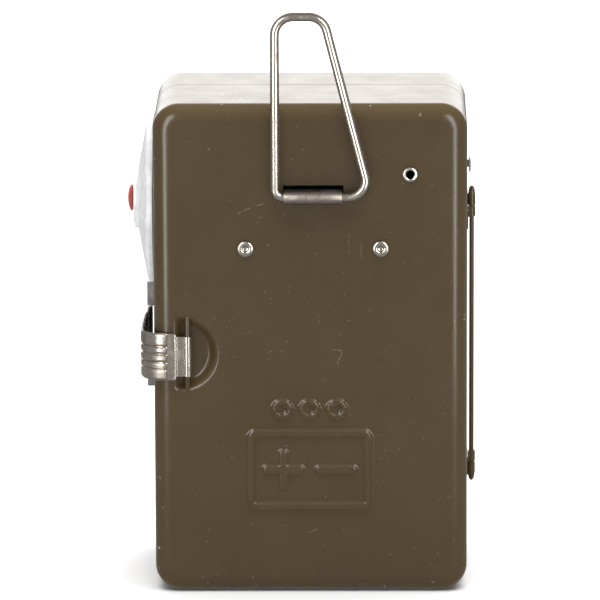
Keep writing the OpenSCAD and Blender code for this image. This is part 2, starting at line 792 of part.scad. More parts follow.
module spare_bulb_clip() {
    color(zinc) difference() {
        union() {
            span([fit_x - 20.5, inner_rear_y, rivet_z - 3.5], [fit_x + 20.5, inner_rear_y + 0.6, rivet_z + 3.5]);
            translate([spare_x + 1, spare_y, rivet_z]) rotate([0, 90, 0]) cylinder(r = 5.3, h = 7);
            span([spare_x + 1, inner_rear_y + 0.3, rivet_z - 2], [spare_x + 8, spare_y, rivet_z + 2]);
        }
        translate([spare_x, spare_y, rivet_z]) rotate([0, 90, 0]) cylinder(r = cap_r + 0.1, h = 9);
        span([spare_x, spare_y + 2.4, rivet_z - 6], [spare_x + 9, spare_y + 8, rivet_z + 6]);
        for (sx = [-1, 1]) on_rear(fit_x + sx * rivet_x, rivet_z)
            translate([0, 0, -3]) cylinder(r = 1.25, h = 4, $fn = 24);
    }
}

module spare_bulb_cap() {
    color(brass) translate([spare_x, spare_y, rivet_z]) rotate([0, 90, 0]) {
        cylinder(r = cap_r, h = 9);
        translate([0, 0, -1.2]) cylinder(r1 = 1.5, r2 = 3.6, h = 1.2);
    }
}

module spare_bulb_glass() {
    color([0.9, 0.93, 0.95, 0.4]) translate([spare_x + 9, spare_y, rivet_z]) rotate([0, 90, 0]) {
        cylinder(r = 4.3, h = spare_glass_h);
        translate([0, 0, spare_glass_h]) sphere(r = bulb_r);
    }
}

module cover_liner() {
    color([0.55, 0.48, 0.36]) span([-22, inner_rear_y, 6], [33, inner_rear_y + 0.4, 66]);
}

// ---- hook ----------------------------------------------------------------

// Corners of the hook loop: height of the hinge bar first, anticlockwise.
hook_corners = [
    [-8.6, hook_z],
    [15, hook_z],
    [3.4, hook_z + hook_h],
    [-8.6, hook_z + hook_h]
];

function unit(v) = v / norm(v);
function corner_half(i) = let (
    p = hook_corners[i],
    u = unit(hook_corners[(i + 3) % 4] - p),
    v = unit(hook_corners[(i + 1) % 4] - p))
    acos(u * v) / 2;
function corner_in(i) =
    hook_corners[i] + unit(hook_corners[(i + 3) % 4] - hook_corners[i]) * hook_bend[i] / tan(corner_half(i));
function corner_out(i) =
    hook_corners[i] + unit(hook_corners[(i + 1) % 4] - hook_corners[i]) * hook_bend[i] / tan(corner_half(i));
function corner_centre(i) = let (
    p = hook_corners[i],
    u = unit(hook_corners[(i + 3) % 4] - p),
    v = unit(hook_corners[(i + 1) % 4] - p))
    p + unit(u + v) * hook_bend[i] / sin(corner_half(i));

module wire_hook() {
    r = hook_wire_d / 2;
    color(nickel) translate([0, hook_y, 0]) rotate([90, 0, 0]) {
        for (i = [0:3]) {
            start = corner_out(i);
            stop = corner_in((i + 1) % 4);
            along = stop - start;
            translate([start.x, start.y, 0]) rotate([0, 90, atan2(along.y, along.x)])
                translate([0, 0, -bend_lap]) cylinder(r = r, h = norm(along) + 2 * bend_lap);
            c = corner_centre(i);
            first = corner_in(i) - c;
            translate([c.x, c.y, 0]) rotate([0, 0, atan2(first.y, first.x)])
                rotate_extrude(angle = 180 - 2 * corner_half(i)) translate([hook_bend[i], 0]) circle(r = r - bend_neck);
        }
    }
}

front_shell();
seam_rim();
front_rivets();
hinge_leaf_case();
hinge_wire();
clasp_keeper();
keeper_rivets();
chassis();
insulator_tray();
bridge_contact();
cell_spring();
cell_left();
cell_left_cap();
cell_right();
cell_right_cap();
contact_board();
bulb_contact();
cell_contact_right();
optic_bracket();
socket_board();
lamp_socket();
bulb_cap();
bulb_tip();
bulb_glass();
bulb_filament();
reflector();
lens_ring();
lens_gasket();
lens();
rod_bush();
filter_rod();
filter_knob();
filter_cup();
switch_plate();
switch_slider();
switch_blade();
switch_insulator();
rear_cover();
hinge_leaf_cover();
cover_rivets();
eyelet();
hook_bracket();
spare_bulb_clip();
spare_bulb_cap();
spare_bulb_glass();
cover_liner();
clasp_pin();
clasp_strap();
wire_hook();
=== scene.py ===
"""Looks of a battery signal lamp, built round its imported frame.

The lamp stands on its base at the origin: +X is the hinge side, -X the lens side,
-Y the rear cover with its wire hook, and +Z is up. Sizes are in metres.
"""

import logging
import math
from dataclasses import dataclass
from enum import Enum
from typing import Callable, Iterable, Sequence

import bmesh
import bpy
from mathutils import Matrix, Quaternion, Vector


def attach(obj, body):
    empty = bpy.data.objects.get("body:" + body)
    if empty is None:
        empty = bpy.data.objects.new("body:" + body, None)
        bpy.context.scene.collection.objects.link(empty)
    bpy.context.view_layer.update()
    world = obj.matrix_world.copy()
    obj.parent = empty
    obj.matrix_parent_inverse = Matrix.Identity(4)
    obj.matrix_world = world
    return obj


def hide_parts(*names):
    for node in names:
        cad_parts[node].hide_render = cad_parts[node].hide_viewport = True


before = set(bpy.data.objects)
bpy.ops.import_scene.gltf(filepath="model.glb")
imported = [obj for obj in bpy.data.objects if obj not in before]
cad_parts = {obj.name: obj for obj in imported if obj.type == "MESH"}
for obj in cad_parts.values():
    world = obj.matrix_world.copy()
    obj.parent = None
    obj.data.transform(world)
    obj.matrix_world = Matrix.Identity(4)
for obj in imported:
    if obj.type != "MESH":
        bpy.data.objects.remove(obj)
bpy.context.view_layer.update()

LOG = logging.getLogger("signal_lamp")
MM = 0.001
SMALL = 1e-5
SMOOTH_ANGLE = math.radians(32)

Point = tuple[float, float, float]
Pair = tuple[float, float]


# ---- working in Blender ---------------------------------------------------


class Axis(Enum):
    """The way that a turned piece points."""

    UP = (0.0, 0.0, 0.0)
    OUT_OF_LENS_SIDE = (0.0, -90.0, 0.0)
    OUT_OF_REAR = (90.0, 0.0, 0.0)
    OUT_OF_FRONT = (-90.0, 0.0, 0.0)
    ALONG_X = (0.0, 90.0, 0.0)


def deselect() -> None:
    """Leaves nothing selected, in object mode."""
    if bpy.context.object and bpy.context.object.mode != "OBJECT":
        bpy.ops.object.mode_set(mode="OBJECT")
    bpy.ops.object.select_all(action="DESELECT")


def take(obj: bpy.types.Object) -> bpy.types.Object:
    """Makes one object the only selected and active one."""
    deselect()
    obj.select_set(True)
    bpy.context.view_layer.objects.active = obj
    return obj


def fresh(name: str) -> bpy.types.Object:
    """Names the primitive that has just been added."""
    obj = bpy.context.object
    obj.name = name
    obj.data.name = name
    return obj


class Part(Enum):
    """The parts of a mesh that can be selected."""

    FACE = "faces"
    EDGE = "edges"


def select(obj: bpy.types.Object, part: Part, test: Callable[..., bool]) -> None:
    """Selects the faces or edges that pass a test, in edit mode.

    Args:
        obj: The object being edited.
        part: Whether faces or edges are selected.
        test: Says whether a face or edge is wanted.
    """
    bpy.ops.mesh.select_mode(type=part.name)
    bpy.ops.mesh.select_all(action="DESELECT")
    mesh = bmesh.from_edit_mesh(obj.data)
    for item in getattr(mesh, part.value):
        item.select = test(item)
    mesh.select_flush_mode()
    bmesh.update_edit_mesh(obj.data)


def place(obj: bpy.types.Object) -> bpy.types.Object:
    """Moves an object's place and turn into its mesh."""
    take(obj)
    bpy.ops.object.transform_apply(location=True, rotation=True, scale=True)
    return obj


def finish_with(obj: bpy.types.Object, kind: str, **settings: object) -> None:
    """Adds one modifier and applies it.

    Args:
        obj: The object to change.
        kind: The modifier's type.
        **settings: The modifier's own settings.
    """
    take(obj)
    modifier = obj.modifiers.new(kind.title(), kind)
    for key, value in settings.items():
        setattr(modifier, key, value)
    bpy.ops.object.modifier_apply(modifier=modifier.name)


def smooth(obj: bpy.types.Object, angle: float = SMOOTH_ANGLE) -> bpy.types.Object:
    """Shades an object smooth where its faces meet at less than an angle."""
    take(obj)
    bpy.ops.object.shade_smooth_by_angle(angle=angle)
    return obj


def weigh_normals(obj: bpy.types.Object) -> None:
    """Keeps broad flat faces flat in shade next to rounded edges."""
    smooth(obj)
    finish_with(obj, "WEIGHTED_NORMAL", mode="FACE_AREA", weight=80, keep_sharp=True)


def outward(obj: bpy.types.Object) -> None:
    """Merges doubles and points the faces outwards."""
    take(obj)
    bpy.ops.object.mode_set(mode="EDIT")
    bpy.ops.mesh.select_all(action="SELECT")
    bpy.ops.mesh.remove_doubles(threshold=SMALL / 4)
    bpy.ops.mesh.normals_make_consistent(inside=False)
    bpy.ops.object.mode_set(mode="OBJECT")


def turned(
    name: str,
    stations: Sequence[Pair],
    at: Point,
    axis: Axis = Axis.UP,
    facets: int = 72,
) -> bpy.types.Object:
    """Turns a piece by drawing a circle out from station to station.

    Args:
        name: The new piece's name.
        stations: Radius and height at each step, in metres.
        at: Where the piece's own origin goes.
        axis: The way that the heights point.
        facets: Points round the circle.

    Returns:
        The closed, smooth-shaded piece.
    """
    deselect()
    radius, height = stations[0]
    now = max(radius, SMALL / 10)
    bpy.ops.mesh.primitive_circle_add(vertices=facets, radius=now, location=(0, 0, height))
    obj = place(fresh(name))
    bpy.ops.object.mode_set(mode="EDIT")
    bpy.ops.mesh.select_all(action="SELECT")
    for next_radius, next_height in stations[1:]:
        wanted = max(next_radius, SMALL / 10)
        bpy.ops.mesh.extrude_edges_move(
            TRANSFORM_OT_translate={"value": (0, 0, next_height - height)}
        )
        ratio = wanted / now
        bpy.ops.transform.resize(
            value=(ratio, ratio, 1), center_override=(0, 0, next_height)
        )
        now, height = wanted, next_height
    bpy.ops.object.mode_set(mode="OBJECT")
    outward(obj)
    obj.rotation_euler = [math.radians(angle) for angle in axis.value]
    obj.location = at
    return smooth(place(obj))


def joined(name: str, parts: Iterable[bpy.types.Object]) -> bpy.types.Object:
    """Joins several objects into one piece."""
    parts = list(parts)
    take(parts[0])
    for part in parts[1:]:
        part.select_set(True)
    if len(parts) > 1:
        bpy.ops.object.join()
    return fresh(name)


def block(name: str, low: Point, high: Point) -> bpy.types.Object:
    """A plain box between two corners, used only to cut with."""
    deselect()
    bpy.ops.mesh.primitive_cube_add(size=1, location=[(a + b) / 2 for a, b in zip(low, high)])
    obj = fresh(name)
    obj.scale = [b - a for a, b in zip(low, high)]
    return place(obj)


def rod(name: str, radius: float, length: float, at: Point, axis: Axis) -> bpy.types.Object:
    """A plain rod centred on a point, used only to cut with."""
    deselect()
    bpy.ops.mesh.primitive_cylinder_add(
        vertices=96, radius=radius, depth=length, location=at,
        rotation=[math.radians(angle) for angle in axis.value],
    )
    return place(fresh(name))


def cut(obj: bpy.types.Object, cutters: Sequence[bpy.types.Object]) -> None:
    """Cuts shapes out of a piece and throws the cutters away."""
    for cutter in cutters:
        finish_with(obj, "BOOLEAN", operation="DIFFERENCE", solver="EXACT", object=cutter)
        bpy.data.objects.remove(cutter)


def ease(value: float) -> float:
    """A smooth step from 0 to 1 over the same range."""
    value = min(1.0, max(0.0, value))
    return value * value * (3 - 2 * value)


def box_distance(x: float, z: float, half_w: float, half_h: float, r: float) -> float:
    """Distance from a rounded rectangle at the origin, negative inside."""
    qx, qz = abs(x) - half_w + r, abs(z) - half_h + r
    return math.hypot(max(qx, 0), max(qz, 0)) + min(max(qx, qz), 0) - r


def mount(obj: bpy.types.Object, body: str, slot: str, *nodes: str) -> bpy.types.Object:
    """Rides a piece on its body in place of CAD nodes, and reports it.

    Args:
        obj: The finished piece.
        body: The body that it moves with.
        slot: The record's material slot; not used.
        *nodes: The CAD nodes that it stands for.

    Returns:
        The same piece.
    """
    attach(obj, body)
    if nodes:
        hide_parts(*nodes)
    LOG.info("%s rides on %s with %d faces", obj.name, body, len(obj.data.polygons))
    return obj


# ---- finishes -------------------------------------------------------------


class Graph:
    """A short way to write a material's nodes."""

    def __init__(self, name: str) -> None:
        """Starts a material with one principled shader."""
        self.material = bpy.data.materials.new(name)
        self.material.use_nodes = True
        self.tree = self.material.node_tree
        self.shader = next(n for n in self.tree.nodes if n.type == "BSDF_PRINCIPLED")
        self.position = self.add("ShaderNodeTexCoord").outputs["Object"]

    def add(self, kind: str, **settings: object) -> bpy.types.Node:
        """Adds a node and sets its own settings."""
        node = self.tree.nodes.new(kind)
        for key, value in settings.items():
            setattr(node, key, value)
        return node

    def link(self, source: bpy.types.NodeSocket, target: bpy.types.NodeSocket) -> None:
        """Joins two sockets."""
        self.tree.links.new(source, target)

    def feed(self, value: object, target: bpy.types.NodeSocket) -> None:
        """Links a socket, or sets a plain value."""
        if isinstance(value, bpy.types.NodeSocket):
            self.link(value, target)
        else:
            target.default_value = value

    def noise(self, scale: float, detail: float = 2.0, stretch: Point = (1, 1, 1)
              ) -> bpy.types.NodeSocket:
        """Noise on the piece's own coordinates.

        Args:
            scale: Lumps per metre, roughly.
            detail: Octaves of finer noise.
            stretch: Scale along each axis.

        Returns:
            The noise's value.
        """
        mapping = self.add("ShaderNodeMapping")
        mapping.inputs["Scale"].default_value = stretch
        self.link(self.position, mapping.inputs["Vector"])
        node = self.add("ShaderNodeTexNoise")
        node.inputs["Scale"].default_value = scale
        node.inputs["Detail"].default_value = detail
        self.link(mapping.outputs["Vector"], node.inputs["Vector"])
        return node.outputs["Fac"]

    def ramp(self, value: object, low: float, high: float, out: Pair = (0, 1)
             ) -> bpy.types.NodeSocket:
        """Maps a range smoothly to another, held at its ends."""
        node = self.add("ShaderNodeMapRange", interpolation_type="SMOOTHSTEP")
        self.feed(value, node.inputs["Value"])
        for key, number in zip(("From Min", "From Max", "To Min", "To Max"), (low, high, *out)):
            node.inputs[key].default_value = number
        return node.outputs["Result"]

    def math(self, operation: str, a: object, b: object = 0.0) -> bpy.types.NodeSocket:
        """One sum of two values."""
        node = self.add("ShaderNodeMath", operation=operation)
        self.feed(a, node.inputs[0])
        self.feed(b, node.inputs[1])
        return node.outputs[0]

    def blend(self, amount: object, a: object, b: object) -> bpy.types.NodeSocket:
        """Mixes two colours."""
        node = self.add("ShaderNodeMix", data_type="RGBA")
        self.feed(amount, node.inputs["Factor"])
        for value, target in ((a, node.inputs[6]), (b, node.inputs[7])):
            self.feed((*value, 1.0) if isinstance(value, tuple) else value, target)
        return node.outputs[2]

    def bump(self, height: bpy.types.NodeSocket, depth: float, strength: float = 1.0,
             under: bpy.types.NodeSocket | None = None) -> bpy.types.NodeSocket:
        """Turns a height into a surface direction.

        Args:
            height: The height, from 0 to 1.
            depth: What a height of 1 stands for, in metres.
            strength: How much of it shows.
            under: A coarser bump to lie on.

        Returns:
            The surface direction.
        """
        node = self.add("ShaderNodeBump")
        node.inputs["Strength"].default_value = strength
        node.inputs["Distance"].default_value = depth
        self.link(height, node.inputs["Height"])
        if under is not None:
            self.link(under, node.inputs["Normal"])
        return node.outputs["Normal"]

    def set(self, **values: object) -> None:
        """Sets or links the shader's sockets, with _ for a space."""
        for key, value in values.items():
            socket = self.shader.inputs[key.replace("_", " ")]
            self.feed((*value, 1.0) if isinstance(value, tuple) and len(value) == 3 else value,
                      socket)


@dataclass(frozen=True)
class Scratch:
    """One bright scratch in the paint of the rear face, from end to end."""

    start: Pair
    end: Pair
    width: float


@dataclass(frozen=True)
class Enamel:
    """Glossy stoved enamel on sheet steel, rubbed through in places."""

    name: str = "olive_enamel"
    colour: Point = (0.088, 0.059, 0.0255)
    shade: Point = (0.080, 0.053, 0.0225)
    metal: Point = (0.42, 0.38, 0.32)
    roughness: float = 0.24
    half_w: float = 39 * MM
    half_h: float = 62 * MM
    scratches: tuple[Scratch, ...] = ()

    def _line(self, g: Graph, scratch: Scratch) -> bpy.types.NodeSocket:
        """The mask of one scratch, broken up along its length."""
        (x0, z0), (x1, z1) = scratch.start, scratch.end
        mapping = g.add("ShaderNodeMapping", vector_type="TEXTURE")
        mapping.inputs["Location"].default_value = ((x0 + x1) / 2, 0, (z0 + z1) / 2)
        mapping.inputs["Rotation"].default_value = (0, -math.atan2(z1 - z0, x1 - x0), 0)
        g.link(g.position, mapping.inputs["Vector"])
        parts = g.add("ShaderNodeSeparateXYZ")
        g.link(mapping.outputs["Vector"], parts.inputs[0])
        length = math.hypot(x1 - x0, z1 - z0) / 2
        along = g.ramp(g.math("ABSOLUTE", parts.outputs[0]), length * 0.7, length, (1, 0))
        across = g.ramp(g.math("ABSOLUTE", parts.outputs[2]), 0.0, scratch.width, (1, 0))
        rear = g.ramp(parts.outputs[1], -24 * MM, -23.5 * MM, (1, 0))
        broken = g.ramp(g.noise(2600, 2), 0.42, 0.56)
        return g.math("MULTIPLY", g.math("MULTIPLY", along, across), g.math("MULTIPLY", rear, broken))

    def _edges(self, g: Graph) -> bpy.types.NodeSocket:
        """1 on the rolled edges of the case and 0 on its flats."""
        parts = g.add("ShaderNodeSeparateXYZ")
        g.link(g.position, parts.inputs[0])
        side = g.math("SUBTRACT", g.math("ABSOLUTE", parts.outputs[0]), self.half_w)
        ends = g.math("SUBTRACT", g.math("ABSOLUTE", g.math("SUBTRACT", parts.outputs[2],
                                                            self.half_h)), self.half_h)
        return g.ramp(g.math("MAXIMUM", side, ends), -3.5 * MM, -0.8 * MM)

    def material(self) -> bpy.types.Material:
        """Builds the enamel: mottle, grain, specks, chips and scratches."""
        g = Graph(self.name)
        mottle = g.ramp(g.noise(42, 3), 0.2, 0.8)
        speck = g.ramp(g.noise(1500, 1), 0.765, 0.80)
        chips = g.math("MULTIPLY", g.ramp(g.noise(620, 3), 0.715, 0.74), self._edges(g))
        bright = g.math("MAXIMUM", chips, g.math("MULTIPLY", speck, 0.4))
        for scratch in self.scratches:
            bright = g.math("MAXIMUM", bright, g.math("MULTIPLY", self._line(g, scratch), 0.75))
        paint = g.blend(mottle, self.colour, self.shade)
        g.set(
            Base_Color=g.blend(bright, paint, self.metal),
            Roughness=g.ramp(g.noise(110, 3), 0.15, 0.85,
                             (self.roughness - 0.02, self.roughness + 0.05)),
            Specular_IOR_Level=0.36,
        )
        waves = g.bump(g.noise(55, 1), 0.12 * MM, 0.35)
        grain = g.bump(g.noise(1250, 2), 0.012 * MM, 0.6, waves)
        g.set(Normal=g.bump(g.math("SUBTRACT", 1.0, bright), 0.02 * MM, 0.5, grain))
        return g.material


@dataclass(frozen=True)
class Metal:
    """A bare or plated metal with brushing, stains and dull patches."""

    name: str
    colour: Point
    stain: Point
    roughness: float = 0.25
    spread: float = 0.18
    brush: Point = (1, 1, 0.08)
    scale: float = 1500
    relief: float = 0.006

    def material(self) -> bpy.types.Material:
        """Builds the metal."""
        g = Graph(self.name)
        cloud = g.ramp(g.noise(240, 4), 0.42, 0.72)
        pits = g.ramp(g.noise(2400, 2), 0.64, 0.72)
        lines = g.noise(self.scale, 3, self.brush)
        dirt = g.math("MAXIMUM", g.math("MULTIPLY", cloud, 0.55), g.math("MULTIPLY", pits, 0.6))
        g.set(
            Base_Color=g.blend(dirt, self.colour, self.stain),
            Metallic=1.0,
            Roughness=g.ramp(g.math("ADD", g.math("MULTIPLY", lines, 0.5),
                                    g.math("MULTIPLY", cloud, 0.5)),
                             0.25, 0.75, (self.roughness, self.roughness + self.spread)),
            Normal=g.bump(lines, self.relief * MM, 0.6,
                          g.bump(g.noise(330, 2), 0.03 * MM, 0.3)),
        )
        return g.material


@dataclass(frozen=True)
class Plastic:
    """A moulded plastic, clear, milky or solid."""

    name: str
    colour: Point
    roughness: float = 0.2
    clear: float = 0.0
    milk: float = 0.0
    refraction: float = 1.49

    def material(self) -> bpy.types.Material:
        """Builds the plastic, with fine haze and handling marks."""
        g = Graph(self.name)
        haze = g.noise(420, 3)
        marks = g.ramp(g.noise(1800, 2, (1, 0.12, 1)), 0.62, 0.75)
        dark = tuple(0.86 * part for part in self.colour)
        g.set(
            Base_Color=g.blend(g.ramp(haze, 0.35, 0.7), self.colour, dark),
            Roughness=g.ramp(g.math("MAXIMUM", haze, marks), 0.3, 0.9,
                             (self.roughness, self.roughness + 0.2)),
            IOR=self.refraction,
            Transmission_Weight=self.clear,
            Subsurface_Weight=self.milk,
            Subsurface_Radius=Vector((4, 4, 4)) * MM,
            Normal=g.bump(marks, 0.01 * MM, 0.4, g.bump(haze, 0.02 * MM, 0.25)),
        )
        return g.material


@dataclass(frozen=True)
class Board:
    """Laminated paper board, card or rubber, with a fine fibre."""

    name: str
    colour: Point
    fleck: Point
    roughness: float = 0.55
    fibre: Point = (1, 0.25, 1)

    def material(self) -> bpy.types.Material:
        """Builds the board."""
        g = Graph(self.name)
        fibre = g.noise(1300, 4, self.fibre)
        cloud = g.noise(120, 3)
        g.set(
            Base_Color=g.blend(g.ramp(g.math("ADD", g.math("MULTIPLY", fibre, 0.6),
                                             g.math("MULTIPLY", cloud, 0.4)), 0.38, 0.66),
                               self.colour, self.fleck),
            Roughness=g.ramp(fibre, 0.3, 0.7, (self.roughness - 0.08, self.roughness + 0.12)),
            Normal=g.bump(fibre, 0.03 * MM, 0.5),
        )
        return g.material


REAR_SCRATCHES = (
    Scratch((-18.2 * MM, 96.6 * MM), (-14.6 * MM, 98.4 * MM), 0.16 * MM),
    Scratch((-13.8 * MM, 98.6 * MM), (-11.0 * MM, 99.4 * MM), 0.12 * MM),
    Scratch((5.4 * MM, 62.4 * MM), (8.0 * MM, 61.9 * MM), 0.12 * MM),
    Scratch((8.0 * MM, 61.9 * MM), (6.6 * MM, 58.4 * MM), 0.11 * MM),
    Scratch((-0.6 * MM, 15.4 * MM), (1.8 * MM, 16.4 * MM), 0.11 * MM),
    Scratch((9.6 * MM, 92.0 * MM), (9.7 * MM, 86.5 * MM), 0.07 * MM),
    Scratch((12.6 * MM, 90.8 * MM), (12.7 * MM, 84.6 * MM), 0.07 * MM),
    Scratch((-7.6 * MM, 62.0 * MM), (-6.2 * MM, 61.6 * MM), 0.09 * MM),
)


class Finish(Enum):
    """The finishes of the lamp."""

    PAINT = Enamel(scratches=REAR_SCRATCHES)
    NICKEL = Metal("worn_nickel", (0.53, 0.48, 0.42), (0.12, 0.10, 0.08), 0.22, 0.22)
    STRIP = Metal("dull_strip", (0.34, 0.30, 0.26), (0.10, 0.08, 0.07), 0.34, 0.24)
    # The dark plate's near-black stain is partly stain and partly painted shade: on the clasp keeper it
    # darkens the metal to stand in for the shaded gap beside the clasp.
    PLATE = Metal("dark_plate", (0.30, 0.28, 0.27), (0.045, 0.035, 0.04), 0.28, 0.30)
    ZINC = Metal("zinc_plate", (0.50, 0.51, 0.50), (0.34, 0.35, 0.33), 0.36, 0.16)
    BRASS = Metal("dull_brass", (0.62, 0.45, 0.20), (0.28, 0.18, 0.08), 0.28, 0.16)
    BRONZE = Metal("spring_bronze", (0.52, 0.30, 0.15), (0.28, 0.15, 0.08), 0.25, 0.14)
    MIRROR = Metal("bright_plate", (0.86, 0.86, 0.85), (0.70, 0.70, 0.69), 0.06, 0.06,
                   relief=0.001)
    BOARD = Board("paper_laminate", (0.19, 0.075, 0.03), (0.11, 0.045, 0.02), 0.42)
    CARD = Board("varnished_card", (0.32, 0.25, 0.15), (0.24, 0.18, 0.11), 0.5)
    RUBBER = Board("lens_rubber", (0.085, 0.032, 0.024), (0.05, 0.02, 0.016), 0.6, (1, 1, 1))
    BLACK = Plastic("black_moulding", (0.02, 0.02, 0.02), 0.35)
    JACKET = Plastic("cell_jacket", (0.03, 0.06, 0.15), 0.28)
    GLASS = Plastic("bulb_glass", (0.97, 0.98, 0.98), 0.02, 1.0, refraction=1.5)
    CLEAR = Plastic("clear_dome", (0.84, 0.86, 0.85), 0.30, 0.0, 0.25)
    RED = Plastic("red_button", (0.52, 0.075, 0.045), 0.28)
    FILTER = Plastic("red_cup", (0.62, 0.02, 0.012), 0.12, 0.75)


class Wardrobe:
    """Makes each finish once and puts it on pieces."""

    def __init__(self) -> None:
        """Starts with no finish made."""
        self._made: dict[Finish, bpy.types.Material] = {}

    def dress(self, obj: bpy.types.Object, finish: Finish) -> bpy.types.Object:
        """Gives a piece one finish all over."""
        if finish not in self._made:
            self._made[finish] = finish.value.material()
        material = self._made[finish]
        if not obj.data.materials:
            obj.data.materials.append(material)
        for slot in obj.material_slots:
            slot.material = material
        return obj

    def dress_node(self, node: str, finish: Finish) -> None:
        """Gives a CAD node a finish, its own shape kept."""
        self.dress(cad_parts[node], finish)


# ---- the two drawn shells -------------------------------------------------


@dataclass
class DrawnShell:
    """One deep-drawn half of the case, with the cuts that both halves share."""

    wardrobe: Wardrobe
    half_w: float = 39 * MM
    height: float = 124 * MM
    corner_r: float = 6.5 * MM
    edge_r: float = 4 * MM
    sheet: float = 0.8 * MM
    lens_z: float = 96 * MM
    window_r: float = 20.7 * MM
    seam_y: float = 4 * MM

    def draw(self, name: str, face_y: float, mouth_y: float) -> bpy.types.Object:
        """Raises the rounded form from a block and opens its mouth.

        Args:
            name: The shell's name.
            face_y: Where its closed face lies.
            mouth_y: Where its open edge lies.

        Returns:
            The thin outer surface, with an inset ring round the flat face.
        """
        low_y, high_y = sorted((face_y, mouth_y))
        obj = block(name, (-self.half_w, low_y, 0), (self.half_w, high_y, self.height))
        bpy.ops.object.mode_set(mode="EDIT")
        select(obj, Part.EDGE, lambda e: abs(e.verts[0].co.y - e.verts[1].co.y) > SMALL)
        bpy.ops.mesh.bevel(offset=self.corner_r, segments=14, profile=0.5, affect="EDGES")
        select(obj, Part.FACE, lambda f: all(abs(v.co.y - mouth_y) < SMALL for v in f.verts))
        bpy.ops.mesh.delete(type="ONLY_FACE")
        select(obj, Part.EDGE, lambda e: all(abs(v.co.y - face_y) < SMALL for v in e.verts))
        bpy.ops.mesh.bevel(offset=self.edge_r, segments=12, profile=0.5, affect="EDGES")
        select(obj, Part.FACE, lambda f: all(abs(v.co.y - face_y) < SMALL for v in f.verts))
        bpy.ops.mesh.inset(thickness=0.25 * MM)
        bpy.ops.object.mode_set(mode="OBJECT")
        return obj

    def window(self) -> bpy.types.Object:
        """The cutter for the lens collar."""
        return rod("window_rod", self.window_r, 5 * MM, (-self.half_w, 0, self.lens_z),
                   Axis.ALONG_X)

    def thicken(self, obj: bpy.types.Object) -> None:
        """Gives the drawn surface its sheet thickness, inwards."""
        finish_with(obj, "SOLIDIFY", thickness=self.sheet, offset=-1, use_even_offset=True,
                    use_rim=True)


